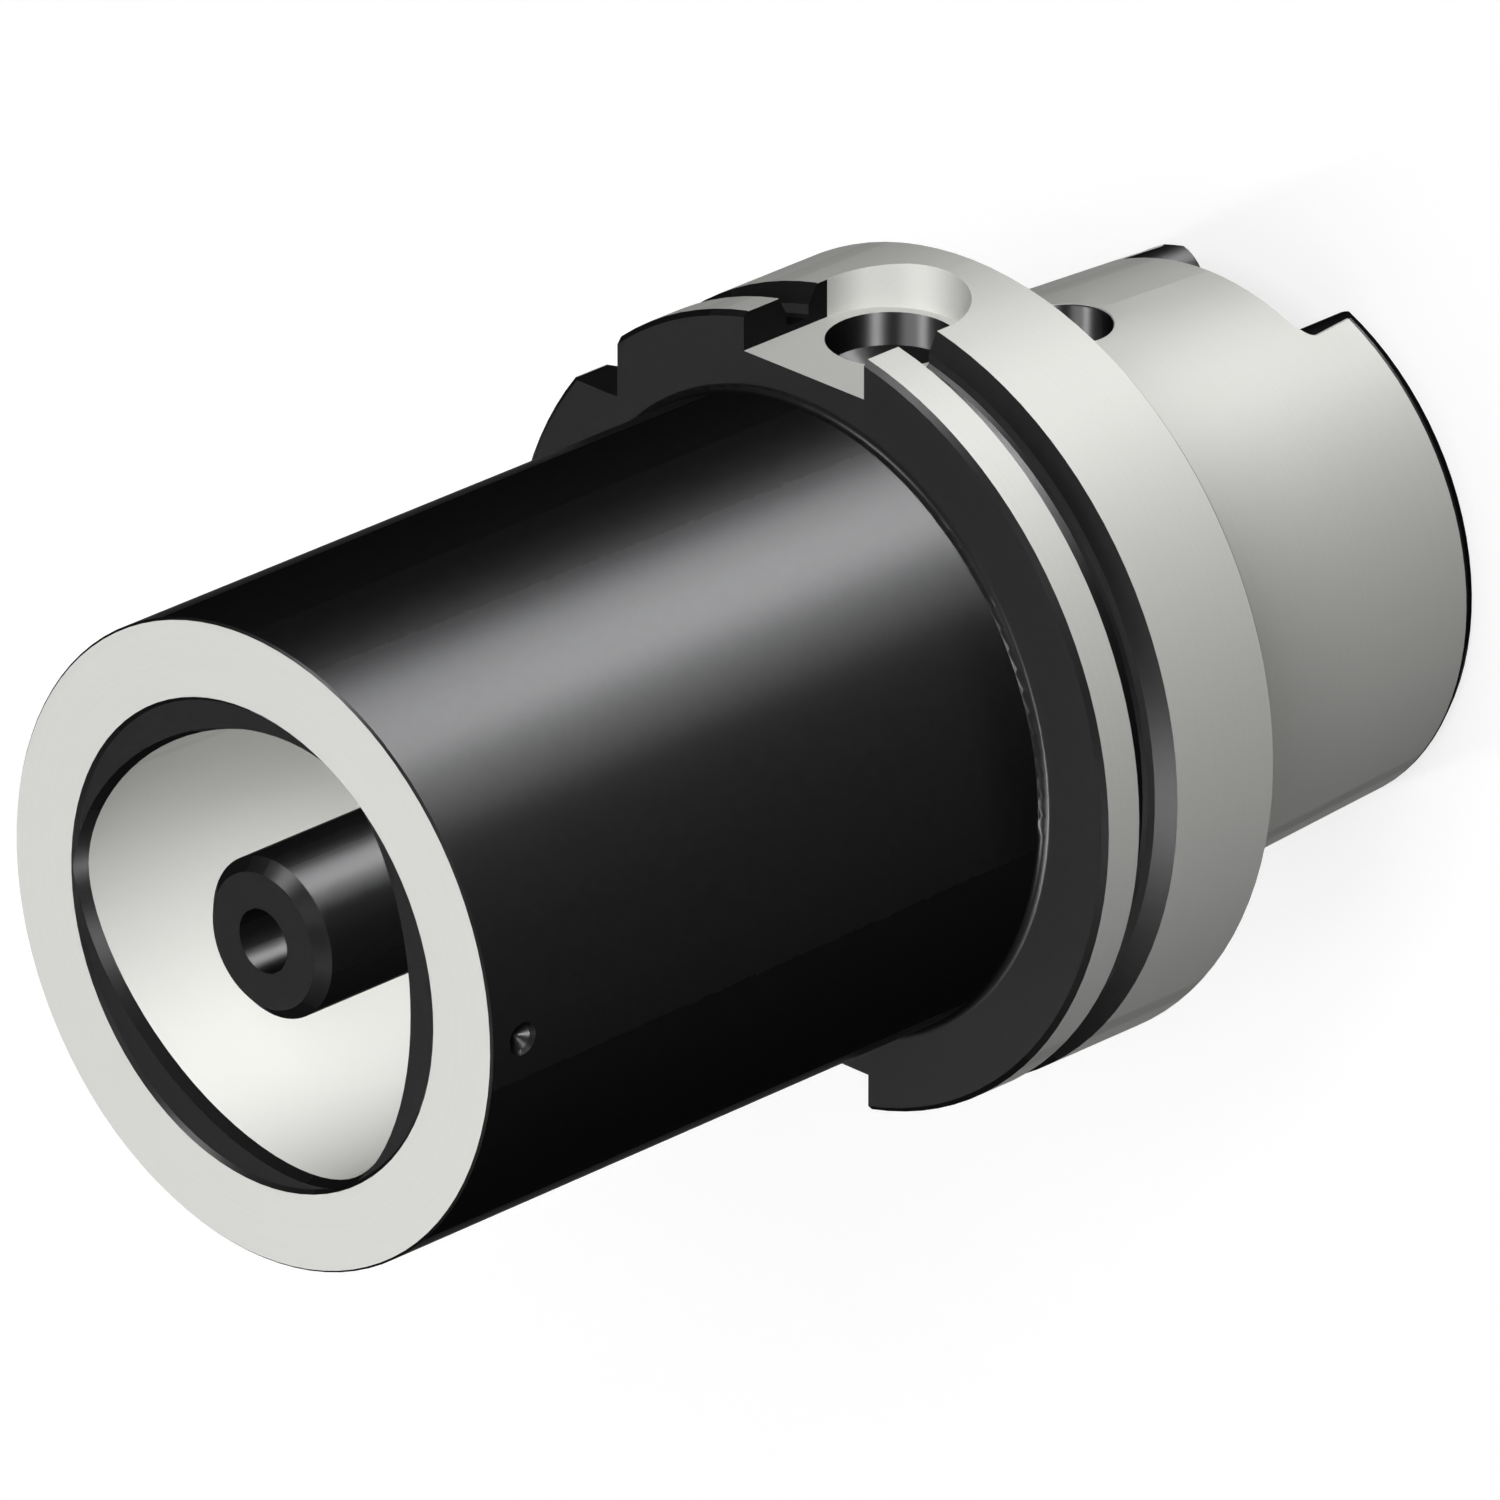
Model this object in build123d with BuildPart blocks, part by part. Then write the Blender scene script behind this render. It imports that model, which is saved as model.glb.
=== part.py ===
from build123d import *
from math import cos, pi, radians, sin, tan
import os

# Spindle adapter: a hollow taper shank of size 100 with a gripper flange, a round extension
# and a three-lobed polygon socket of size 80 whose captive centre bolt draws the tool in.
# Millimetres. +Z runs along the spindle axis towards the tool, and z = 0 is the face of the
# flange that rests on the spindle. +X points through the keyway that carries the balance pocket.

# Lengths along the axis
shank_length = 50.0
flange_width = 29.0
programming_length = 120.0

# Taper of the shank, its end and its neck at the flange
gauge_diameter = 75.013
gauge_distance = 10.0
taper_ratio = 9.98
end_chamfer_length = 1.5
end_chamfer_angle = 30.0
neck_width = 2.5
neck_depth = 0.4

# Hollow of the shank, where the spindle's clamping fingers grip
clamp_bore_diameter = 53.0
clamp_undercut_diameter = 63.0
shoulder_gauge_diameter = 58.0
shoulder_gauge_distance = 28.56
shoulder_angle = 30.0
hollow_floor_distance = 8.0
hollow_corner_chamfer = 1.5
hollow_mouth_chamfer = 1.0

# Two drive slots at the shank's end
drive_slot_width = 20.02
drive_slot_depth = 10.0
drive_flat_distance = 32.0
drive_step_radius = 5.0
drive_floor_radius = 2.0

# Access hole through the shank's wall
access_diameter = 12.0
access_distance = 15.0
access_chamfer = 0.6

# Flange with its gripper groove
flange_diameter = 100.0
flange_rear_chamfer = 0.5
flange_front_chamfer = 0.65
groove_distance = 20.0
groove_angle = 60.0
groove_pin_diameter = 7.0
groove_pin_stand = 9.75
groove_slot_width = 3.75
groove_depth = 4.0
groove_floor_chamfer = 0.4

# Two keyways and the orientation notch of the flange
keyway_depth = 6.0
upper_keyway_width = 20.0
lower_keyway_width = 22.0
keyway_arc_distance = 15.0
notch_depth = 5.74
notch_angle = 45.0

# Balance pocket in the floor of the upper keyway
pocket_diameter = 16.0
pocket_distance = 14.2
pocket_depth = 4.3
drill_point_angle = 118.0

# Round extension and its index dimple
extension_diameter = 80.0
extension_fillet = 1.0
extension_chamfer = 0.3
dimple_diameter = 3.2
dimple_setback = 5.0
dimple_chamfer = 0.5

# Ground front ring and the shallow recess inside it
ring_inner_diameter = 60.8
recess_depth = 0.5

# Polygon socket
polygon_diameter = 55.0
polygon_eccentricity = 2.0
polygon_taper_ratio = 20.0
polygon_gauge_depth = 2.0
polygon_depth = 48.0
mouth_chamfer_angle = 21.8
polygon_points = 36

# Stepped bore behind the socket, from the tool's side to the spindle's side
relief_diameter = 47.0
relief_length = 6.0
lock_thread_diameter = 42.0
lock_thread_length = 12.0
collar_bore_diameter = 37.0
collar_bore_length = 12.0
spigot_bore_diameter = 28.0
spigot_bore_length = 26.0
key_passage_diameter = 18.0
key_passage_length = 6.0
coolant_bore_diameter = 22.5
coolant_bore_chamfer = 1.0
collar_bore_chamfer = 0.5

# Centre bolt
bolt_diameter = 20.0
bolt_setback = 2.0
bolt_nose_chamfer = 1.5
bolt_thread_length = 36.0
bolt_neck_diameter = 16.5
bolt_coolant_diameter = 8.0
bolt_end_gap = 4.0
bolt_edge_chamfer = 0.8
hex_across_flats = 14.0
hex_depth = 12.0
hex_chamfer = 0.6
seal_groove_distance = 8.0
seal_groove_width = 4.0
seal_groove_depth = 2.4
seal_width = 3.4
seal_chamfer = 0.5

# Lock ring
lock_ring_height = 10.0
lock_ring_chamfer = 1.0
pin_hole_count = 4
pin_hole_diameter = 5.0
pin_hole_depth = 5.0
pin_circle_diameter = 31.0

# Clearances of the fits, on the radius or along the axis
running_clearance = 0.05
collar_side_clearance = 0.3
collar_end_clearance = 0.15
bolt_passage_clearance = 0.5
thread_clearance = 0.05

# Cutting bodies reach this far past the faces that they cut
overcut = 5.0
same_place = 1e-3

# Heights that follow from the sizes above
shank_end = -shank_length
hollow_floor = -hollow_floor_distance
drive_floor = shank_end + drive_slot_depth
gauge_plane = programming_length - polygon_gauge_depth
polygon_end = gauge_plane - polygon_depth
relief_end = polygon_end - relief_length
lock_seat = relief_end - lock_thread_length
collar_seat = lock_seat - collar_bore_length
spigot_bore_end = collar_seat - spigot_bore_length
key_passage_end = spigot_bore_end - key_passage_length
bolt_nose = programming_length - bolt_setback
bolt_thread_end = bolt_nose - bolt_thread_length
bolt_end = spigot_bore_end + bolt_end_gap

# Radii that follow from the sizes above
flange_radius = flange_diameter / 2
groove_floor_radius = flange_radius - groove_depth
keyway_floor_distance = flange_radius - keyway_depth
extension_radius = extension_diameter / 2
bolt_radius = bolt_diameter / 2
bolt_neck_radius = bolt_neck_diameter / 2
spigot_radius = spigot_bore_diameter / 2 - running_clearance
collar_radius = collar_bore_diameter / 2 - collar_side_clearance
seal_groove_radius = spigot_radius - seal_groove_depth


def taper_radius(height):
    """Radius of the shank's cone, which narrows towards the spindle."""
    return gauge_diameter / 2 - (-height - gauge_distance) / (2 * taper_ratio)


def shoulder_height(radius):
    """Height at which the clamping cone inside the shank has this radius."""
    return (radius - shoulder_gauge_diameter / 2) / tan(radians(shoulder_angle)) - shoulder_gauge_distance


def drill_point(radius):
    """Depth of a drill's conical point."""
    return radius / tan(radians(drill_point_angle / 2))


def rims(builder, radius, height):
    """Circular edges about the axis that have this radius and height."""
    circles = builder.edges().filter_by(GeomType.CIRCLE)
    level = circles.filter_by(lambda edge: abs(edge.center().Z - height) < same_place)
    return level.filter_by(lambda edge: abs(edge.radius - radius) < same_place)


def polygon_outline(mean_radius):
    """Points of the three-lobed curve that stays at one distance from its offset curves.

    Its supporting line at angle a lies at mean_radius - eccentricity * cos(3 a) from the axis.
    A lobe points along +Y, and the flats lie between the lobes.
    """
    points = []
    for step in range(polygon_points):
        a = 2 * pi * step / polygon_points
        along = mean_radius * cos(a) - polygon_eccentricity * (2 * cos(2 * a) - cos(4 * a))
        across = mean_radius * sin(a) + polygon_eccentricity * (2 * sin(2 * a) + sin(4 * a))
        points.append((across, -along))
    return points


# Form of one drive slot: a slot through the wall whose outer edges widen in a rounded step to a flat
with BuildPart() as drive_slot_form:
    half_slot = drive_slot_width / 2
    step_start = drive_flat_distance - drive_step_radius
    step_width = half_slot + drive_step_radius
    with BuildSketch(Plane.XY.offset(drive_floor)):
        with BuildLine():
            Polyline(
                (step_start, half_slot),
                (0, half_slot),
                (0, -half_slot),
                (step_start, -half_slot),
            )
            RadiusArc((step_start, -half_slot), (drive_flat_distance, -step_width), drive_step_radius)
            Polyline(
                (drive_flat_distance, -step_width),
                (drive_flat_distance, -extension_radius),
                (flange_radius, -extension_radius),
                (flange_radius, extension_radius),
                (drive_flat_distance, extension_radius),
                (drive_flat_distance, step_width),
            )
            RadiusArc((drive_flat_distance, step_width), (step_start, half_slot), drive_step_radius)
        make_face()
    extrude(amount=-drive_slot_depth - overcut)
    floor_edges = drive_slot_form.faces().sort_by(Axis.Z)[-1].edges()
    walls = floor_edges.filter_by_position(Axis.Y, -extension_radius, extension_radius, (False, False))
    fillet(walls.filter_by_position(Axis.X, 0, drive_flat_distance + same_place), drive_floor_radius)

# Holder body
with BuildPart() as holder_body:
    # Outer form: shank, flange with its gripper groove, extension
    half_groove_angle = radians(groove_angle / 2)
    flank_slope = tan(half_groove_angle)
    pin_seat = groove_pin_diameter / sin(half_groove_angle)
    vertex_radius = flange_radius + (groove_pin_stand - groove_pin_diameter - pin_seat) / 2
    groove_half_width = (flange_radius - vertex_radius) * flank_slope
    flank_foot_radius = vertex_radius + groove_slot_width / 2 / flank_slope
    end_chamfer_top = shank_end + end_chamfer_length
    end_face_radius = taper_radius(end_chamfer_top) - end_chamfer_length * tan(radians(end_chamfer_angle))
    neck_radius = taper_radius(-neck_width) - neck_depth
    with BuildSketch(Plane.XZ):
        with BuildLine():
            Polyline(
                (0, shank_end),
                (end_face_radius, shank_end),
                (taper_radius(end_chamfer_top), end_chamfer_top),
                (taper_radius(-neck_width), -neck_width),
                (neck_radius, neck_depth - neck_width),
                (neck_radius, 0),
                (flange_radius, 0),
                (flange_radius, groove_distance - groove_half_width),
                (flank_foot_radius, groove_distance - groove_slot_width / 2),
                (groove_floor_radius, groove_distance - groove_slot_width / 2),
                (groove_floor_radius, groove_distance + groove_slot_width / 2),
                (flank_foot_radius, groove_distance + groove_slot_width / 2),
                (flange_radius, groove_distance + groove_half_width),
                (flange_radius, flange_width),
                (extension_radius, flange_width),
                (extension_radius, programming_length),
                (0, programming_length),
                close=True,
            )
        make_face()
    revolve(axis=Axis.Z)
    for side in (1, -1):
        wall_height = groove_distance + side * groove_slot_width / 2
        chamfer(rims(holder_body, groove_floor_radius, wall_height), groove_floor_chamfer)
    fillet(rims(holder_body, extension_radius, flange_width), extension_fillet)
    chamfer(rims(holder_body, extension_radius, programming_length), extension_chamfer)
    chamfer(rims(holder_body, flange_radius, flange_width), flange_front_chamfer)
    chamfer(rims(holder_body, flange_radius, 0), flange_rear_chamfer)

    # Hollow shank: entry bore, clamping cone, undercut and floor
    clamp_bore_radius = clamp_bore_diameter / 2
    undercut_radius = clamp_undercut_diameter / 2
    with BuildSketch(Plane.XZ):
        with BuildLine():
            Polyline(
                (0, shank_end - overcut),
                (clamp_bore_radius + hollow_mouth_chamfer + overcut, shank_end - overcut),
                (clamp_bore_radius, shank_end + hollow_mouth_chamfer),
                (clamp_bore_radius, shoulder_height(clamp_bore_radius)),
                (undercut_radius, shoulder_height(undercut_radius)),
                (undercut_radius, hollow_floor),
                (0, hollow_floor),
                close=True,
            )
        make_face()
    revolve(axis=Axis.Z, mode=Mode.SUBTRACT)
    chamfer(rims(holder_body, undercut_radius, hollow_floor), hollow_corner_chamfer)

    # Stepped bore for the centre bolt, with the coolant tube's thread at the spindle's side
    with BuildSketch(Plane.XZ):
        with BuildLine():
            Polyline(
                (0, hollow_floor),
                (coolant_bore_diameter / 2 + coolant_bore_chamfer, hollow_floor),
                (coolant_bore_diameter / 2, hollow_floor + coolant_bore_chamfer),
                (coolant_bore_diameter / 2, key_passage_end),
                (key_passage_diameter / 2, key_passage_end),
                (key_passage_diameter / 2, spigot_bore_end),
                (spigot_bore_diameter / 2, spigot_bore_end),
                (spigot_bore_diameter / 2, collar_seat - collar_bore_chamfer),
                (spigot_bore_diameter / 2 + collar_bore_chamfer, collar_seat),
                (collar_bore_diameter / 2, collar_seat),
                (collar_bore_diameter / 2, lock_seat),
                (lock_thread_diameter / 2, lock_seat),
                (lock_thread_diameter / 2, relief_end),
                (relief_diameter / 2, relief_end),
                (relief_diameter / 2, polygon_end + overcut),
                (0, polygon_end + overcut),
                close=True,
            )
        make_face()
    revolve(axis=Axis.Z, mode=Mode.SUBTRACT)

    # Shallow recess with a sloping edge inside the ground front ring
    ring_inner_radius = ring_inner_diameter / 2
    with BuildSketch(Plane.XZ):
        with BuildLine():
            Polyline(
                (0, programming_length - recess_depth),
                (ring_inner_radius - recess_depth, programming_length - recess_depth),
                (ring_inner_radius + overcut, programming_length + overcut),
                (0, programming_length + overcut),
                close=True,
            )
        make_face()
    revolve(axis=Axis.Z, mode=Mode.SUBTRACT)

    # Polygon socket: a long taper and a steeper mouth
    polygon_radius = polygon_diameter / 2
    polygon_end_radius = polygon_radius - polygon_depth / (2 * polygon_taper_ratio)
    mouth_radius = polygon_radius + polygon_gauge_depth * tan(radians(mouth_chamfer_angle))
    for lower, lower_radius, upper, upper_radius in (
        (polygon_end, polygon_end_radius, gauge_plane, polygon_radius),
        (gauge_plane, polygon_radius, programming_length, mouth_radius),
    ):
        with BuildSketch(Plane.XY.offset(lower)):
            with BuildLine():
                Spline(*polygon_outline(lower_radius), periodic=True)
            make_face()
        with BuildSketch(Plane.XY.offset(upper)):
            with BuildLine():
                Spline(*polygon_outline(upper_radius), periodic=True)
            make_face()
        loft(ruled=True, mode=Mode.SUBTRACT)

    # Keyways that open at the flange's front face and end in an arc
    for side, keyway_width in ((1, upper_keyway_width), (-1, lower_keyway_width)):
        with BuildSketch(Plane.YZ.offset(side * keyway_floor_distance)):
            with Locations((0, keyway_arc_distance)):
                Circle(keyway_width / 2)
                Rectangle(keyway_width, flange_width, align=(Align.CENTER, Align.MIN))
        extrude(amount=side * flange_radius, mode=Mode.SUBTRACT)

    # Balance pocket with the drill's conical bottom
    pocket_radius = pocket_diameter / 2
    pocket_floor = keyway_floor_distance - pocket_depth
    with BuildSketch(Plane.XZ):
        with BuildLine():
            Polyline(
                (flange_radius, pocket_distance),
                (flange_radius, pocket_distance + pocket_radius),
                (pocket_floor, pocket_distance + pocket_radius),
                (pocket_floor - drill_point(pocket_radius), pocket_distance),
                close=True,
            )
        make_face()
    revolve(axis=Axis((0, 0, pocket_distance), (1, 0, 0)), mode=Mode.SUBTRACT)

    # Notch in the front land of the flange, square to X and Y, for orientation in the tool changer
    with BuildSketch(Plane.XY.offset(groove_distance)):
        with PolarLocations(flange_radius - notch_depth, 1, start_angle=notch_angle):
            Rectangle(flange_radius, flange_radius, rotation=-notch_angle, align=(Align.MIN, Align.MIN))
    extrude(amount=flange_width - groove_distance, mode=Mode.SUBTRACT)

    # Two drive slots across the shank's end
    with PolarLocations(0, 2):
        add(drive_slot_form.part, mode=Mode.SUBTRACT)

    # Access hole through the wall, for the key of a hand-operated clamp
    access_radius = access_diameter / 2
    access_rim = taper_radius(-access_distance)
    with BuildSketch(Plane.XZ):
        with BuildLine():
            Polyline(
                (clamp_bore_radius, -access_distance),
                (clamp_bore_radius, access_radius - access_distance),
                (access_rim - access_chamfer, access_radius - access_distance),
                (access_rim + overcut, access_radius + access_chamfer + overcut - access_distance),
                (access_rim + overcut, -access_distance),
                close=True,
            )
        make_face()
    revolve(axis=Axis((0, 0, -access_distance), (1, 0, 0)), mode=Mode.SUBTRACT)

    # Index dimple on the extension, at a right angle to the keyways
    dimple_radius = dimple_diameter / 2
    dimple_height = programming_length - dimple_setback
    dimple_floor = dimple_chamfer - extension_radius
    with BuildSketch(Plane.YZ):
        with BuildLine():
            Polyline(
                (-extension_radius - overcut, dimple_height),
                (-extension_radius - overcut, dimple_height + dimple_radius + dimple_chamfer + overcut),
                (dimple_floor, dimple_height + dimple_radius),
                (dimple_floor + drill_point(dimple_radius), dimple_height),
                close=True,
            )
        make_face()
    revolve(axis=Axis((0, 0, dimple_height), (0, 1, 0)), mode=Mode.SUBTRACT)

# Centre bolt: nose that screws into the tool, neck, collar, and spigot with the key's socket
with BuildPart() as centre_bolt:
    collar_end = collar_seat + collar_end_clearance
    collar_front = lock_seat - collar_end_clearance
    seal_groove_end = bolt_end + hex_depth + seal_groove_distance
    seal_groove_front = seal_groove_end + seal_groove_width
    with BuildSketch(Plane.XZ):
        with BuildLine():
            Polyline(
                (0, bolt_end),
                (spigot_radius, bolt_end),
                (spigot_radius, seal_groove_end),
                (seal_groove_radius, seal_groove_end),
                (seal_groove_radius, seal_groove_front),
                (spigot_radius, seal_groove_front),
                (spigot_radius, collar_end),
                (collar_radius, collar_end),
                (collar_radius, collar_front),
                (bolt_neck_radius, collar_front),
                (bolt_neck_radius, bolt_thread_end - bolt_radius + bolt_neck_radius),
                (bolt_radius, bolt_thread_end),
                (bolt_radius, bolt_nose),
                (0, bolt_nose),
                close=True,
            )
        make_face()
    revolve(axis=Axis.Z)
    chamfer(rims(centre_bolt, bolt_radius, bolt_nose), bolt_nose_chamfer)
    chamfer(rims(centre_bolt, spigot_radius, bolt_end), bolt_edge_chamfer)
    chamfer(rims(centre_bolt, collar_radius, collar_end), bolt_edge_chamfer)
    chamfer(rims(centre_bolt, collar_radius, collar_front), bolt_edge_chamfer)
    with BuildSketch(Plane.XY.offset(bolt_end)):
        Circle(bolt_coolant_diameter / 2)
    extrude(amount=bolt_nose - bolt_end, mode=Mode.SUBTRACT)
    with BuildSketch(Plane.XY.offset(bolt_end)):
        RegularPolygon(hex_across_flats / 2, 6, major_radius=False)
    extrude(amount=hex_depth, mode=Mode.SUBTRACT)
    end_edges = centre_bolt.edges().filter_by_position(Axis.Z, bolt_end - same_place, bolt_end + same_place)
    chamfer(end_edges.filter_by(GeomType.LINE), hex_chamfer)

# Seal of the bolt: a rubber ring of square section with bevelled corners
with BuildPart() as bolt_seal:
    seal_height = (seal_groove_end + seal_groove_front) / 2
    with BuildSketch(Plane.XZ):
        with Locations(((seal_groove_radius + spigot_radius) / 2, seal_height)):
            section = Rectangle(seal_groove_depth, seal_width)
        chamfer(section.vertices(), seal_chamfer)
    revolve(axis=Axis.Z)

# Lock ring: screwed in from the tool's side, it keeps the bolt's collar in its bore
with BuildPart() as lock_ring:
    lock_ring_radius = lock_thread_diameter / 2 - thread_clearance
    lock_ring_front = lock_seat + lock_ring_height
    with BuildSketch(Plane.XY.offset(lock_seat)):
        Circle(lock_ring_radius)
        Circle(bolt_radius + bolt_passage_clearance, mode=Mode.SUBTRACT)
    extrude(amount=lock_ring_height)
    chamfer(rims(lock_ring, lock_ring_radius, lock_ring_front), lock_ring_chamfer)
    chamfer(rims(lock_ring, bolt_radius + bolt_passage_clearance, lock_ring_front), lock_ring_chamfer)
    with BuildSketch(Plane.XY.offset(lock_ring_front)):
        with PolarLocations(pin_circle_diameter / 2, pin_hole_count):
            Circle(pin_hole_diameter / 2)
    extrude(amount=-pin_hole_depth, mode=Mode.SUBTRACT)

holder_body.part.label = "holder_body"
centre_bolt.part.label = "centre_bolt"
bolt_seal.part.label = "bolt_seal"
lock_ring.part.label = "lock_ring"

os.makedirs("parts", exist_ok=True)
export_step(holder_body.part, "parts/holder_body.step")
export_step(centre_bolt.part, "parts/centre_bolt.step")
export_step(bolt_seal.part, "parts/bolt_seal.step")
export_step(lock_ring.part, "parts/lock_ring.step")
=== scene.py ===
# %% [markdown]
# # A tool holder adapter with its clamping bolt
#
# This adapter sits between a machine spindle and a tool. One end is a short hollow taper
# that the spindle pulls in, the other end is a socket with a tapered three-lobed bore,
# and a captive bolt stands in that bore to draw the tool in. The steel is blackened all
# over and then ground bright only where it has to fit something. This lesson loads the
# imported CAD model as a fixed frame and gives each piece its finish, light and camera.

# %% Load the frame
import math

import bpy
import numpy as np
from mathutils import Matrix, Vector


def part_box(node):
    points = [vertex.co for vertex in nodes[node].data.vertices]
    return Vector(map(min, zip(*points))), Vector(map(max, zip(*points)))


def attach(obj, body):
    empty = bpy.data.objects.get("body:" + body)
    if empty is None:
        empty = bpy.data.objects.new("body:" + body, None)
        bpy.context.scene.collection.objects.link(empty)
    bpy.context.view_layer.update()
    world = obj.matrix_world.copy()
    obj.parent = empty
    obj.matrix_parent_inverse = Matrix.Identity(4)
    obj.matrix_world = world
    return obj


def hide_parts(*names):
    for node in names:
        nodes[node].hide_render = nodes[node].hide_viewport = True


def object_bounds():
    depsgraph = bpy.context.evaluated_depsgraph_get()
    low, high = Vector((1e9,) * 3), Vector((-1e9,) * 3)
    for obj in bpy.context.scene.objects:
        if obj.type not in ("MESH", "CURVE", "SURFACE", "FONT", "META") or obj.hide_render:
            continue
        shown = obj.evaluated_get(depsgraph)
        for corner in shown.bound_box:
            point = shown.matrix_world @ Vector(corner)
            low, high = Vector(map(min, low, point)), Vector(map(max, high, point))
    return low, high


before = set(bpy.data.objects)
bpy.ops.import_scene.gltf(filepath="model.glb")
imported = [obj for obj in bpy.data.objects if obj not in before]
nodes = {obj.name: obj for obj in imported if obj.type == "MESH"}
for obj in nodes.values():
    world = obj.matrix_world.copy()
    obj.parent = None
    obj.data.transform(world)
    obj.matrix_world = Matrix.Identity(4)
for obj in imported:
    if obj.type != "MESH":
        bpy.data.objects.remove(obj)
cad_low, cad_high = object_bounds()
scene = bpy.context.scene
scene.view_settings.view_transform = "Standard"
print("pieces from the CAD model:", sorted(nodes))

# %% [markdown]
# ## Camera
#
# The photograph looks down on the socket from in front, with a long lens. A camera can be
# aimed by hand or with a tracking constraint, but here its three axes are known from the
# photograph: right, up and towards the viewer, in the frame of the part. Together they
# are a rotation matrix, so nothing has to be aimed. Sizes on a drawing are in
# millimetres and Blender works in metres, so one scale factor joins the two.

# %% Camera at the photograph's angle
MM = 0.001
CAMERA_RIGHT, CAMERA_UP, CAMERA_AWAY = -26.846, -13.028, 2635.0
SENSOR_WIDTH, FOCAL_LENGTH, CLIP_END = 36.0, 528.3, 20.0

right = Vector((0.0, -0.70711, -0.70711))
up = Vector((0.90631, 0.29884, -0.29884))
towards = Vector((0.42262, -0.64086, 0.64086))
camera_data = bpy.data.cameras.new("photo_camera")
camera = bpy.data.objects.new("photo_camera", camera_data)
scene.collection.objects.link(camera)
camera_data.sensor_width = SENSOR_WIDTH
camera_data.lens = FOCAL_LENGTH
camera_data.clip_end = CLIP_END
axes = Matrix((right, up, towards)).transposed().to_4x4()
place = (CAMERA_RIGHT * right + CAMERA_UP * up + CAMERA_AWAY * towards) * MM
camera.matrix_world = Matrix.Translation(place) @ axes
scene.camera = camera
print("camera stands", round(place.length, 3), "m from the part")

# %% [markdown]
# ## Helpers for node trees
#
# A material is a tree of nodes. The tree could be built by hand in the shader editor, but
# then nobody could read why a number is what it is. These helpers add one node and hand
# back its output, so that a recipe reads like a short formula. An input may be a number
# or the output of another node. An effect that several materials share is a group, which
# is a tree of its own with named inputs and outputs.

# %% Node helpers
FLOAT, VECTOR = "NodeSocketFloat", "NodeSocketVector"


def feed(tree, socket, value):
    """Links an output to a socket, or writes a plain value on it."""
    if isinstance(value, bpy.types.NodeSocket):
        tree.links.new(value, socket)
    else:
        socket.default_value = value


def number(tree, operation, *values):
    """One Math node: the operation on one, two or three numbers."""
    node = tree.nodes.new("ShaderNodeMath")
    node.operation = operation
    for socket, value in zip(node.inputs, values):
        feed(tree, socket, value)
    return node.outputs[0]


def new_group(name, inputs, outputs):
    """A node group with named sockets, and its inner input and output nodes."""
    tree = bpy.data.node_groups.new(name, "ShaderNodeTree")
    for label, kind in inputs:
        tree.interface.new_socket(label, in_out="INPUT", socket_type=kind)
    for label, kind in outputs:
        tree.interface.new_socket(label, in_out="OUTPUT", socket_type=kind)
    return tree, tree.nodes.new("NodeGroupInput"), tree.nodes.new("NodeGroupOutput")


def use_group(tree, group, **values):
    """Places a group in a tree and feeds its inputs by name."""
    node = tree.nodes.new("ShaderNodeGroup")
    node.node_tree = group
    for label, value in values.items():
        feed(tree, node.inputs[label.replace("_", " ")], value)
    return node


print("node helpers ready")

# %% [markdown]
# ## Place on the part
#
# Every turned part is round about one axis, so its finish is easiest to describe by two
# numbers: the height along the axis and the distance from it. A painted picture on the
# surface could carry the finish too, but it would need unwrapping and would blur. This
# group works the two numbers out from the Object coordinates, in millimetres, once for
# all the materials.

# %% Group: place on a turned part
turned_place, place_in, place_out = new_group(
    "place_on_turned_part",
    [("Position", VECTOR)],
    [("X", FLOAT), ("Y", FLOAT), ("Z", FLOAT), ("Radius", FLOAT)],
)
scaled = turned_place.nodes.new("ShaderNodeVectorMath")
scaled.operation = "SCALE"
turned_place.links.new(place_in.outputs[0], scaled.inputs[0])
scaled.inputs["Scale"].default_value = 1.0 / MM
split = turned_place.nodes.new("ShaderNodeSeparateXYZ")
turned_place.links.new(scaled.outputs[0], split.inputs[0])
x_square, y_square = [
    number(turned_place, "MULTIPLY", split.outputs[axis], split.outputs[axis])
    for axis in ("X", "Y")
]
radius = number(turned_place, "SQRT", number(turned_place, "ADD", x_square, y_square))
for socket, value in zip(place_out.inputs, (*split.outputs, radius)):
    turned_place.links.new(value, socket)
print("group", turned_place.name, "gives", [s.name for s in place_out.inputs if s.name])

# %% [markdown]
# ## Marks of the cutting tool and the wheel
#
# A turning tool leaves fine rings round the axis, and so does a grinding wheel. Along a
# cylinder the rings follow the height, on a flat face they follow the radius, so a noise
# read at height plus radius gives rings on both. Cut rings would be far too small to
# model. The group puts out the rings and a slow mottling, which is the way a blackening
# bath takes a little unevenly.

# %% Group: rings and mottling
RING_DETAIL, MOTTLE_DETAIL = 3.0, 4.0

marks, marks_in, marks_out = new_group(
    "turning_marks",
    [("Position", VECTOR), ("Rings per mm", FLOAT), ("Mottle scale", FLOAT)],
    [("Rings", FLOAT), ("Mottle", FLOAT)],
)
spot = use_group(marks, turned_place, Position=marks_in.outputs["Position"])
walk = number(marks, "ADD", spot.outputs["Z"], spot.outputs["Radius"])
rings = marks.nodes.new("ShaderNodeTexNoise")
rings.noise_dimensions = "1D"
marks.links.new(walk, rings.inputs["W"])
marks.links.new(marks_in.outputs["Rings per mm"], rings.inputs["Scale"])
rings.inputs["Detail"].default_value = RING_DETAIL
mottle = marks.nodes.new("ShaderNodeTexNoise")
marks.links.new(marks_in.outputs["Position"], mottle.inputs["Vector"])
marks.links.new(marks_in.outputs["Mottle scale"], mottle.inputs["Scale"])
mottle.inputs["Detail"].default_value = MOTTLE_DETAIL
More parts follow.
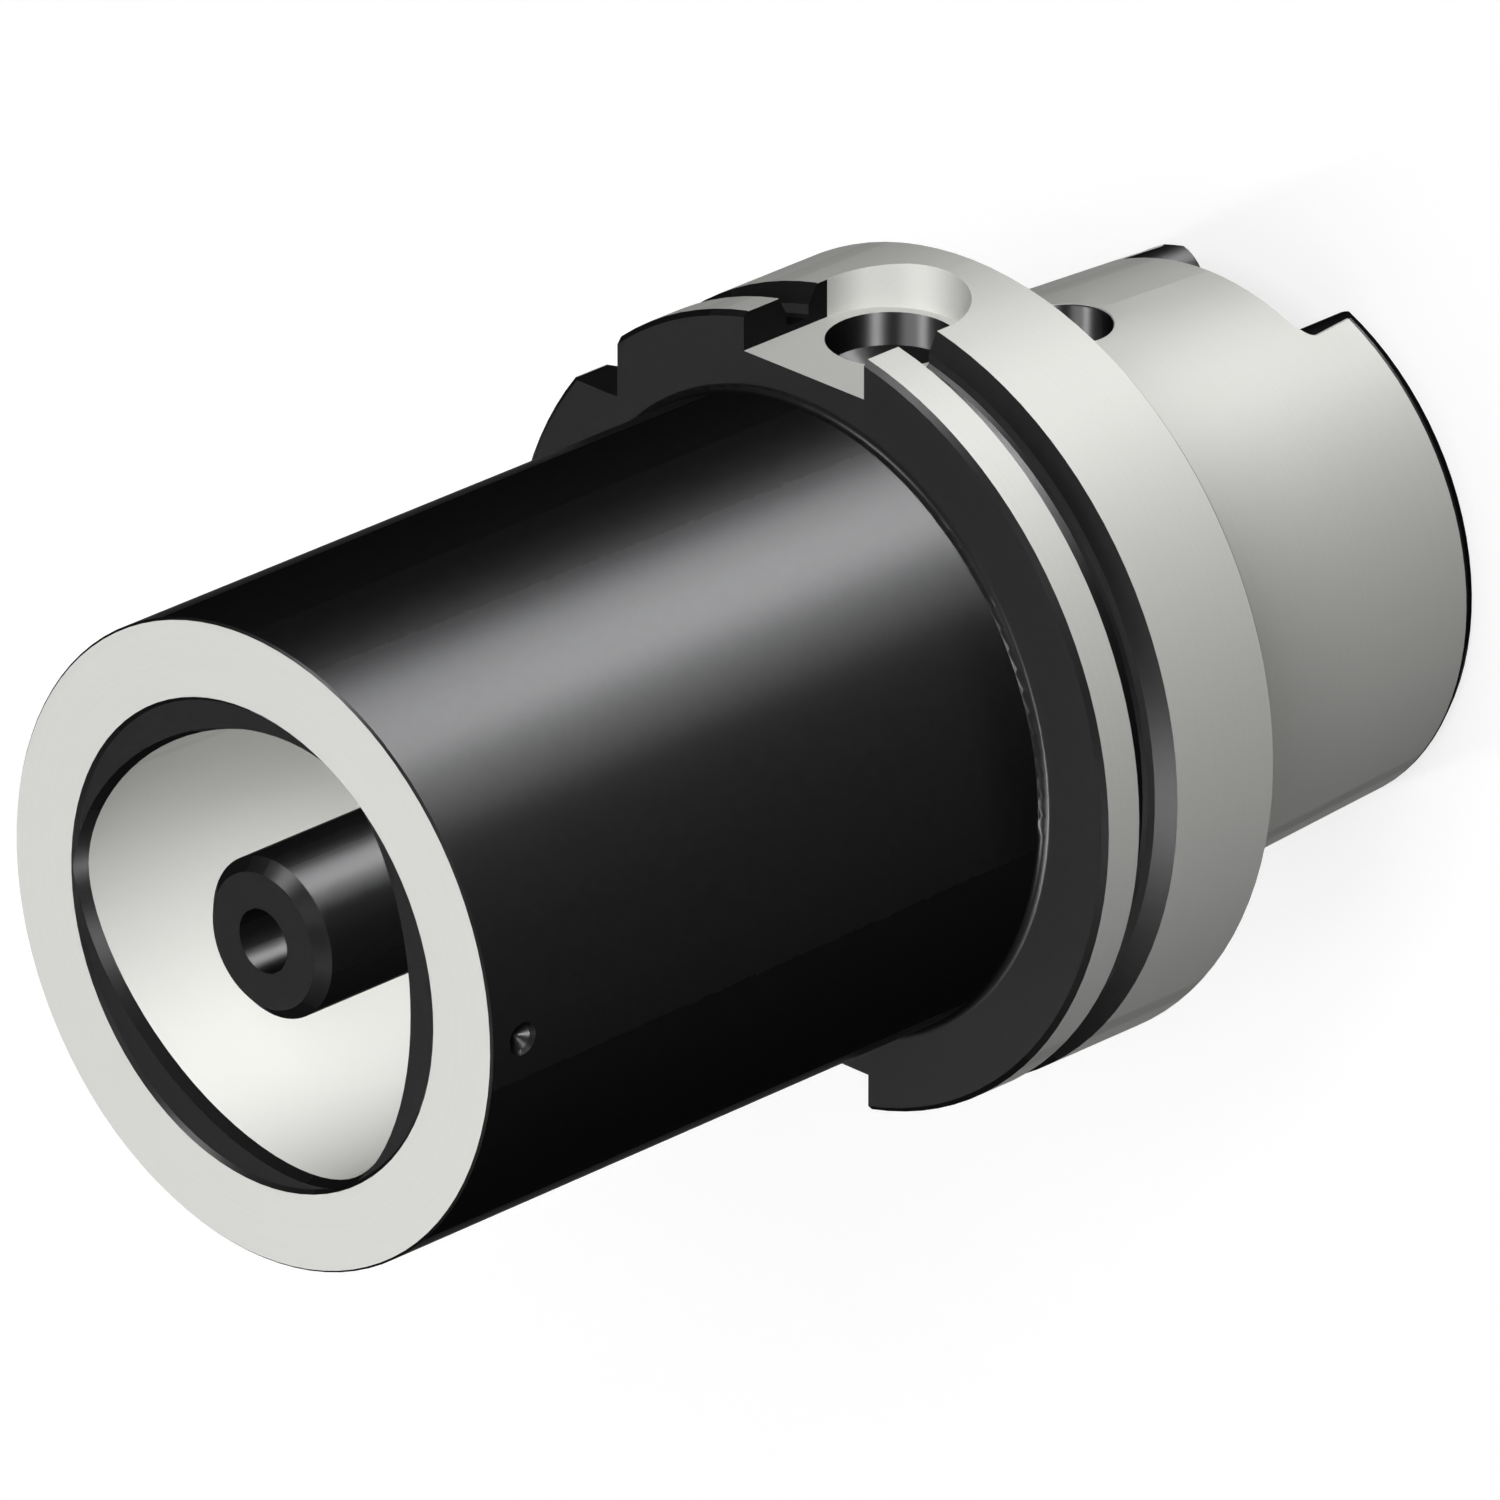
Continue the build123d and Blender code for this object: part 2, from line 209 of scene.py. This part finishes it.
marks.links.new(rings.outputs["Fac"], marks_out.inputs["Rings"])
marks.links.new(mottle.outputs["Fac"], marks_out.inputs["Mottle"])
print("group", marks.name, "ready")

# %% [markdown]
# ## Which faces are ground
#
# After blackening, the maker grinds the faces that fit: the end face and the three-lobed
# bore, the two lands of the flange and the strip of its rear face that meets the
# spindle, the keyways and the taper. The wheel takes the black off there. Painting each
# face by hand would work too, but a mask found by real sizes is exact and can be read
# against a drawing. The sizes are in millimetres, from the contact face of the flange.

# %% Sizes of the ground faces
TOOL_FACE = 120.0
BORE_LOW, BORE_HIGH, BORE_REACH = 70.05, 118.0, 29.7
FLANGE_RADIUS, FLANGE_REAR, FLANGE_FRONT = 50.0, 0.5, 28.35
GROOVE_LOW, GROOVE_HIGH = 16.752, 23.248
KEYWAY_FLOOR, UPPER_HALF_WIDTH, LOWER_HALF_WIDTH = 44.0, 10.0, 11.0
KEYWAY_REAR, KEYWAY_ARC, KEYWAY_FRONT = 1.0, 15.0, 28.99
GAUGE_RADIUS, GAUGE_HEIGHT, TAPER_SLOPE = 37.5065, -10.0, 1.0 / 19.96
TAPER_END, TAPER_START = -48.1, -2.5
CONTACT_INSIDE = 37.9
# How far a mask reaches past a round, a flat, a milled and a side face.
ROUND_REACH, FLAT_REACH, FLOOR_REACH, SIDE_REACH = 0.12, 0.02, 0.01, 0.005
print("the ground taper runs from", TAPER_END, "to", TAPER_START, "mm")


# %% Mask helpers
def above(tree, value, limit):
    """1 where the value is over the limit, else 0."""
    return number(tree, "GREATER_THAN", value, limit)


def below(tree, value, limit):
    """1 where the value is under the limit, else 0."""
    return number(tree, "LESS_THAN", value, limit)


def every(tree, first, *others):
    """1 where all the masks are 1: their product."""
    for other in others:
        first = number(tree, "MULTIPLY", first, other)
    return first


def either(tree, first, *others):
    """1 where any of the masks is 1: their largest value."""
    for other in others:
        first = number(tree, "MAXIMUM", first, other)
    return first


def between(tree, value, low, high):
    """1 where low < value < high, else 0."""
    return every(tree, above(tree, value, low), below(tree, value, high))


print("mask helpers ready")

# %% Group: ground faces of the tool end
ground_faces, ground_in, ground_out = new_group(
    "ground_faces", [("Position", VECTOR)], [("Mask", FLOAT), ("Bore", FLOAT)]
)
g = ground_faces
here = use_group(g, turned_place, Position=ground_in.outputs["Position"]).outputs
x, y, z, r = here["X"], here["Y"], here["Z"], here["Radius"]

face = above(g, z, TOOL_FACE - FLAT_REACH)
bore = every(g, between(g, z, BORE_LOW, BORE_HIGH), below(g, r, BORE_REACH))
print("the end face is ground at", TOOL_FACE, "mm, the bore down to", BORE_LOW, "mm")

# %% Group: ground faces of the flange
across = number(g, "ABSOLUTE", y)
lands = every(
    g,
    either(g, between(g, z, FLANGE_REAR, GROOVE_LOW), between(g, z, GROOVE_HIGH, FLANGE_FRONT)),
    above(g, r, FLANGE_RADIUS - ROUND_REACH),
)
upper = every(
    g, above(g, x, KEYWAY_FLOOR - FLOOR_REACH), below(g, across, UPPER_HALF_WIDTH + SIDE_REACH)
)
lower = every(
    g, below(g, x, FLOOR_REACH - KEYWAY_FLOOR), below(g, across, LOWER_HALF_WIDTH + SIDE_REACH)
)
inner = either(g, below(g, z, KEYWAY_ARC), below(g, across, UPPER_HALF_WIDTH - FLOOR_REACH))
keyways = every(g, either(g, upper, lower), between(g, z, KEYWAY_REAR, KEYWAY_FRONT), inner)
print("the lands and two keyways are ground up to", KEYWAY_FRONT, "mm")

# %% Group: ground faces of the shank, and the whole mask
cone = number(
    g, "MULTIPLY_ADD",
    number(g, "SUBTRACT", z, GAUGE_HEIGHT), TAPER_SLOPE, GAUGE_RADIUS - ROUND_REACH,
)
taper = every(g, between(g, z, TAPER_END, TAPER_START), above(g, r, cone))
contact = every(g, between(g, z, -FLAT_REACH, FLAT_REACH), above(g, r, CONTACT_INSIDE))
mask = either(g, face, bore, lands, keyways, taper, contact)
g.links.new(mask, ground_out.inputs["Mask"])
# The bore mask also says where the ground steel is painted lighter, as painted light for the
# shade inside the socket.
g.links.new(bore, ground_out.inputs["Bore"])
print("group", g.name, "has", len(g.nodes), "nodes")

# %% [markdown]
# ## Steel materials
#
# Blackened steel is steel with a thin dark oxide: the colour is nearly black and only a
# soft streak of light shows its roundness. Ground steel is the same metal laid bare, pale
# and a little warm, with light scattered by the wheel's fine scratches. Two materials
# with faces assigned to each could do this, but the finish changes in the middle of
# faces, so one recipe makes both and a mask says where which of them shows. The oxide is
# only part metal, and the shader's specular tint and level are 0, so that black edges
# stay black where the light only grazes them.

# %% Steel colours and finish
BLACK, BLACK_WORN = (0.0120, 0.0120, 0.0122, 1.0), (0.0145, 0.0145, 0.0147, 1.0)
BRIGHT, BRIGHT_DULL = (0.56, 0.563, 0.540, 1.0), (0.53, 0.533, 0.511, 1.0)
# The bore's ground steel is painted lighter than the other ground faces: painted light that makes
# up for the shade inside the socket.
BORE_PAINTED_LIGHTER = (0.64, 0.644, 0.620, 1.0)
BLACK_METAL, GROUND_METAL = 0.375, 0.075
BLACK_ROUGHNESS, RING_ROUGHNESS, GROUND_ROUGHNESS = 0.33, 0.40, 0.65
ROUGHNESS_SPREAD = 0.008
# Nearly all of the mottling noise lies between these two values.
MOTTLE_LOW, MOTTLE_HIGH, MOTTLE_SCALE = 0.3, 0.7, 700.0
RINGS_PER_MM, RING_BUMP, RING_HEIGHT = 2.2, 0.06, 0.02 * MM
# A Mix node has sockets for numbers, vectors and colours; these are its colour ones.
MIX_FACTOR, MIX_FIRST, MIX_SECOND, MIX_RESULT = 0, 6, 7, 2


def blend_colours(tree, factor, first, second):
    """A Mix node on colours: first where the factor is 0, second where it is 1."""
    node = tree.nodes.new("ShaderNodeMix")
    node.data_type = "RGBA"
    feed(tree, node.inputs[MIX_FACTOR], factor)
    feed(tree, node.inputs[MIX_FIRST], first)
    feed(tree, node.inputs[MIX_SECOND], second)
    return node.outputs[MIX_RESULT]


def remap(tree, value, low, high, new_low, new_high):
    """A Map Range node: low..high becomes new_low..new_high."""
    node = tree.nodes.new("ShaderNodeMapRange")
    for socket, part in zip(node.inputs, (value, low, high, new_low, new_high)):
        feed(tree, socket, part)
    return node.outputs[0]


print("steel colours ready")


# %% Steel recipe
def steel(name, roughness, mask_group=None):
    """Blackened steel of a roughness, and ground steel where the group's mask is 1."""
    material = bpy.data.materials.new(name)
    material.use_nodes = True
    tree = material.node_tree
    shader = tree.nodes["Principled BSDF"]
    position = tree.nodes.new("ShaderNodeTexCoord").outputs["Object"]
    finish = use_group(
        tree, marks, Position=position, Rings_per_mm=RINGS_PER_MM, Mottle_scale=MOTTLE_SCALE
    )
    colour = blend_colours(tree, finish.outputs["Mottle"], BLACK, BLACK_WORN)
    rough = remap(
        tree, finish.outputs["Mottle"], MOTTLE_LOW, MOTTLE_HIGH,
        roughness - ROUGHNESS_SPREAD, roughness + ROUGHNESS_SPREAD,
    )
    metal = BLACK_METAL
    if mask_group:
        masks = use_group(tree, mask_group, Position=position).outputs
        bright = blend_colours(tree, finish.outputs["Rings"], BRIGHT_DULL, BRIGHT)
        # Painted light: in the bore the ground steel is painted lighter, to make up for the shade
        # inside the socket.
        bright = blend_colours(tree, masks["Bore"], bright, BORE_PAINTED_LIGHTER)
        colour = blend_colours(tree, masks["Mask"], colour, bright)
        rough = remap(tree, masks["Mask"], 0.0, 1.0, rough, GROUND_ROUGHNESS)
        metal = remap(tree, masks["Mask"], 0.0, 1.0, metal, GROUND_METAL)
    feed(tree, shader.inputs["Base Color"], colour)
    feed(tree, shader.inputs["Roughness"], rough)
    feed(tree, shader.inputs["Metallic"], metal)
    shader.inputs["Specular Tint"].default_value = (0.0, 0.0, 0.0, 1.0)
    shader.inputs["Specular IOR Level"].default_value = 0.0
    bump = tree.nodes.new("ShaderNodeBump")
    bump.inputs["Strength"].default_value = RING_BUMP
    bump.inputs["Distance"].default_value = RING_HEIGHT
    tree.links.new(finish.outputs["Rings"], bump.inputs["Height"])
    tree.links.new(bump.outputs[0], shader.inputs["Normal"])
    print("material", name, "made")
    return material


# %% Steel on the three steel pieces
def dress(node, material):
    """Puts one material on every slot of a piece."""
    for slot in node.material_slots:
        slot.material = material


dress(nodes["holder_body"], steel("blackened_and_ground_steel", BLACK_ROUGHNESS, ground_faces))
dress(nodes["centre_bolt"], steel("blackened_bolt_steel", BLACK_ROUGHNESS))
dress(nodes["lock_ring"], steel("blackened_ring_steel", RING_ROUGHNESS))
print("steel pieces dressed")

# %% [markdown]
# ## The rubber ring on the bolt
#
# A moulded rubber ring seals the bolt against the bore. Its CAD stand-in has a square
# section with bevelled corners; the real ring is round and pressed to an oval between
# the groove and the bore. A torus would stand through both of them. A superellipse, which
# is a circle whose corners are filled out, is that pressed shape, and carrying it round
# the axis makes the ring.

# %% Rubber ring as a swept section
def swept_ring(centre_radius, centre_z, half_width, half_height, fullness, turns=144, points=40):
    """A superellipse carried round Z, as a grid of turns by points of the section.

    Across the section, the share of the half width and the share of the half height,
    each raised to the fullness, add up to one. So the shares are the cosine and the sine
    of the section's angle, raised to two over the fullness, with their signs kept. The
    reach from the axis is then turned round Z by the other angle.
    """
    turn_angles = np.linspace(0.0, 2.0 * np.pi, turns, endpoint=False)
    section_angles = np.linspace(0.0, 2.0 * np.pi, points, endpoint=False)
    around, about = np.meshgrid(turn_angles, section_angles, indexing="ij")
    power = 2.0 / fullness
    across_share = np.sign(np.cos(about)) * np.abs(np.cos(about)) ** power
    height_share = np.sign(np.sin(about)) * np.abs(np.sin(about)) ** power
    reach = centre_radius + half_width * across_share
    level = centre_z + half_height * height_share
    return np.stack((reach * np.cos(around), reach * np.sin(around), level), axis=-1)


def closed_mesh(name, grid):
    """A mesh from a grid that closes on itself both ways, faces pointing outwards.

    Each face joins a point, its neighbour one turn on, and the next ones of the section.
    """
    rows, columns = grid.shape[:2]
    index = np.arange(rows * columns).reshape(rows, columns)
    onward = np.roll(index, -1, axis=0)
    corners = (index, onward, np.roll(onward, -1, axis=1), np.roll(index, -1, axis=1))
    faces = np.stack(corners, axis=-1).reshape(-1, 4)
    mesh = bpy.data.meshes.new(name)
    mesh.from_pydata(grid.reshape(-1, 3).tolist(), [], faces.tolist())
    mesh.polygons.foreach_set("use_smooth", np.ones(len(mesh.polygons), bool))
    mesh.update()
    return mesh


seal_low, seal_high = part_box("bolt_seal")
SEAL_HALF_WIDTH, SEAL_FULLNESS = 1.2 * MM, 2.6
seal_grid = swept_ring(
    seal_high.x - SEAL_HALF_WIDTH,
    (seal_low.z + seal_high.z) / 2.0,
    SEAL_HALF_WIDTH,
    (seal_high.z - seal_low.z) / 2.0,
    SEAL_FULLNESS,
)
seal_ring = bpy.data.objects.new("rubber_ring", closed_mesh("rubber_ring", seal_grid))
scene.collection.objects.link(seal_ring)
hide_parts("bolt_seal")
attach(seal_ring, "bolt")
print("rubber ring has", len(seal_ring.data.polygons), "faces")

# %% [markdown]
# ## Rubber
#
# Seal rubber is filled with soot, so it is black, dull and a little cloudy from the
# mould. One even grey would look like plastic, so a fine noise moves the colour and the
# roughness together.

# %% Rubber
RUBBER_DARK, RUBBER_PALE = (0.012, 0.012, 0.012, 1.0), (0.028, 0.028, 0.028, 1.0)
RUBBER_SMOOTH, RUBBER_ROUGH = 0.5, 0.65
GRAIN_SCALE, GRAIN_DETAIL, GRAIN_LOW, GRAIN_HIGH = 900.0, 4.0, 0.3, 0.7

rubber = bpy.data.materials.new("seal_rubber")
rubber.use_nodes = True
tree = rubber.node_tree
texture = tree.nodes.new("ShaderNodeTexNoise")
tree.links.new(tree.nodes.new("ShaderNodeTexCoord").outputs["Object"], texture.inputs["Vector"])
texture.inputs["Scale"].default_value = GRAIN_SCALE
texture.inputs["Detail"].default_value = GRAIN_DETAIL
grain = texture.outputs["Fac"]
rubber_inputs = tree.nodes["Principled BSDF"].inputs
feed(tree, rubber_inputs["Base Color"], blend_colours(tree, grain, RUBBER_DARK, RUBBER_PALE))
rough = remap(tree, grain, GRAIN_LOW, GRAIN_HIGH, RUBBER_SMOOTH, RUBBER_ROUGH)
feed(tree, rubber_inputs["Roughness"], rough)
seal_ring.data.materials.append(rubber)
print("rubber made")

# %% [markdown]
# ## Floor
#
# The part stands on its shank end on a pale floor, as it would on a bench. A white sheet
# would throw a lot of light up at the black steel, so the floor is two things at once,
# and the Light Path node tells the rays apart. The camera, and metal that mirrors the
# floor, see a pale floor with a glow that brings it to the photograph's white and leaves
# the part's soft shadow on it. Light that bounces from it to the part meets a dark grey.
# The floor lies a hair below the part, so that the two faces don't flicker, and it is
# clear from below, so that the hollow shank can be looked into.

# %% Floor
FLOOR_RADIUS, FLOOR_GAP = 2.0, 0.1 * MM
FLOOR_THROWS, FLOOR_SHOWS = (0.10, 0.10, 0.10, 1.0), (0.34, 0.34, 0.34, 1.0)
FLOOR_GLOW, FLOOR_ROUGHNESS = 0.79, 0.9


def white_rays(tree):
    """1 for rays of the camera and for mirrored and bent ones, else 0."""
    path = tree.nodes.new("ShaderNodeLightPath").outputs
    return either(tree, path["Is Camera Ray"], path["Is Glossy Ray"], path["Is Transmission Ray"])


def disc(name, disc_radius, height, sides=96):
    """A flat round disc: one point per angle at a fixed distance from the axis."""
    angle = np.linspace(0.0, 2.0 * np.pi, sides, endpoint=False)
    level = np.full(sides, height)
    rim = np.stack((disc_radius * np.cos(angle), disc_radius * np.sin(angle), level), axis=-1)
    mesh = bpy.data.meshes.new(name)
    mesh.from_pydata(rim.tolist(), [], [list(range(sides))])
    return bpy.data.objects.new(name, mesh)


floor_height = cad_low.z - FLOOR_GAP
floor = disc("floor", FLOOR_RADIUS, floor_height)
scene.collection.objects.link(floor)
print("floor at", round(floor_height / MM, 2), "mm")

# %% Floor paint
floor_paint = bpy.data.materials.new("floor_paint")
floor_paint.use_nodes = True
tree = floor_paint.node_tree
paint = tree.nodes["Principled BSDF"]
floor_shade = blend_colours(tree, white_rays(tree), FLOOR_THROWS, FLOOR_SHOWS)
tree.links.new(floor_shade, paint.inputs["Base Color"])
paint.inputs["Roughness"].default_value = FLOOR_ROUGHNESS
paint.inputs["Specular IOR Level"].default_value = 0.0
glow = tree.nodes.new("ShaderNodeEmission")
tree.links.new(number(tree, "MULTIPLY", white_rays(tree), FLOOR_GLOW), glow.inputs["Strength"])
layer = tree.nodes.new("ShaderNodeAddShader")
tree.links.new(paint.outputs[0], layer.inputs[0])
tree.links.new(glow.outputs[0], layer.inputs[1])
under = tree.nodes.new("ShaderNodeMixShader")
tree.links.new(tree.nodes.new("ShaderNodeNewGeometry").outputs["Backfacing"], under.inputs[0])
tree.links.new(layer.outputs[0], under.inputs[1])
tree.links.new(tree.nodes.new("ShaderNodeBsdfTransparent").outputs[0], under.inputs[2])
tree.links.new(under.outputs[0], tree.nodes["Material Output"].inputs["Surface"])
floor.data.materials.append(floor_paint)
print("floor painted")

# %% [markdown]
# ## World
#
# Round the part there is the photograph's plain white. Like the floor, the world shows it
# to the camera and in the metal only, and its light on the part is a faint grey, because
# a white world would wash out the black steel.

# %% World
SKY_SHOWS, SKY_THROWS = (1.0, 1.0, 1.0, 1.0), (0.03, 0.03, 0.03, 1.0)

world = bpy.data.worlds.new("studio")
scene.world = world
world.use_nodes = True
tree = world.node_tree
tree.nodes.clear()
white = tree.nodes.new("ShaderNodeBackground")
white.inputs["Color"].default_value = SKY_SHOWS
grey = tree.nodes.new("ShaderNodeBackground")
grey.inputs["Color"].default_value = SKY_THROWS
layer = tree.nodes.new("ShaderNodeMixShader")
tree.links.new(white_rays(tree), layer.inputs[0])
tree.links.new(grey.outputs[0], layer.inputs[1])
tree.links.new(white.outputs[0], layer.inputs[2])
tree.links.new(layer.outputs[0], tree.nodes.new("ShaderNodeOutputWorld").inputs["Surface"])
print("world made")

# %% [markdown]
# ## Lamps
#
# Three soft boxes light the part and throw its shadow: one overhead, one in front and a
# low one behind. The photograph's streaks on black steel need more than that, for black
# steel shows nothing but what it mirrors. Each streak was traced back along the mirror
# direction to the place its light must come from, and a sheen lamp stands there: two
# strips under the floor make the long streaks, and the others make the ones in the holes,
# on the chamfers and in the keyway. A sheen lamp is seen only in polished surfaces and
# nothing stands in its way, because the photograph is shaded like a drawing program's
# picture, with streaks even inside holes.

# %% Lamps
LAMP_DISTANCE, STRIP_DISTANCE = 1.6, 1.2


def softbox(name, azimuth, elevation, distance, size, level):
    """A flat lamp aimed at the part; level is the brightness it gives white paper.

    Its power is the level times pi squared times the square of its distance.
    """
    data = bpy.data.lights.new(name, "AREA")
    data.shape = "RECTANGLE"
    data.size, data.size_y = size
    data.energy = level * math.pi**2 * distance**2
    lamp = bpy.data.objects.new(name, data)
    scene.collection.objects.link(lamp)
    a, e = math.radians(azimuth), math.radians(elevation)
    way = Vector((math.cos(a) * math.cos(e), math.sin(a) * math.cos(e), math.sin(e)))
    middle = (cad_low + cad_high) / 2
    turn = way.to_track_quat("Z", "Y").to_matrix().to_4x4()
    lamp.matrix_world = Matrix.Translation(middle + distance * way) @ turn
    lamp.visible_camera = False
    print(name, "gives", level)
    return lamp


def sheen_lamp(name, azimuth, elevation, distance, size, level):
    """A lamp that only shines in polished surfaces, and that nothing shades."""
    lamp = softbox(name, azimuth, elevation, distance, size, level)
    lamp.visible_diffuse = False
    lamp.data.use_shadow = False
    lamp.data.cycles.use_multiple_importance_sampling = False


# Name, azimuth and elevation in degrees, distance and size in metres, level.
softbox("top_lamp", -30.0, 84.0, LAMP_DISTANCE, (0.8, 0.8), 0.25)
softbox("key_lamp", -44.0, 50.0, LAMP_DISTANCE, (0.7, 0.7), 0.44)
softbox("back_lamp", 123.4, 15.0, LAMP_DISTANCE, (0.15, 0.5), 0.5)
sheen_lamp("narrow_strip", -5.0, -37.2, STRIP_DISTANCE, (0.6, 0.14), 3.7)
sheen_lamp("wide_strip", -5.0, -37.2, STRIP_DISTANCE, (1.5, 0.14), 4.2)
sheen_lamp("left_sheen", -116.0, 16.0, LAMP_DISTANCE, (0.28, 0.40), 3.6)
sheen_lamp("high_sheen", 159.0, 63.0, LAMP_DISTANCE, (0.3, 0.3), 3.2)
sheen_lamp("flank_sheen", -151.0, 61.0, LAMP_DISTANCE, (0.7, 0.35), 2.0)
sheen_lamp("side_sheen", -62.0, -2.0, LAMP_DISTANCE, (0.5, 0.5), 2.8)
sheen_lamp("front_sheen", 16.0, 38.0, LAMP_DISTANCE, (0.5, 0.5), 2.1)
sheen_lamp("back_sheen", 124.0, 40.0, LAMP_DISTANCE, (0.5, 0.5), 0.27)
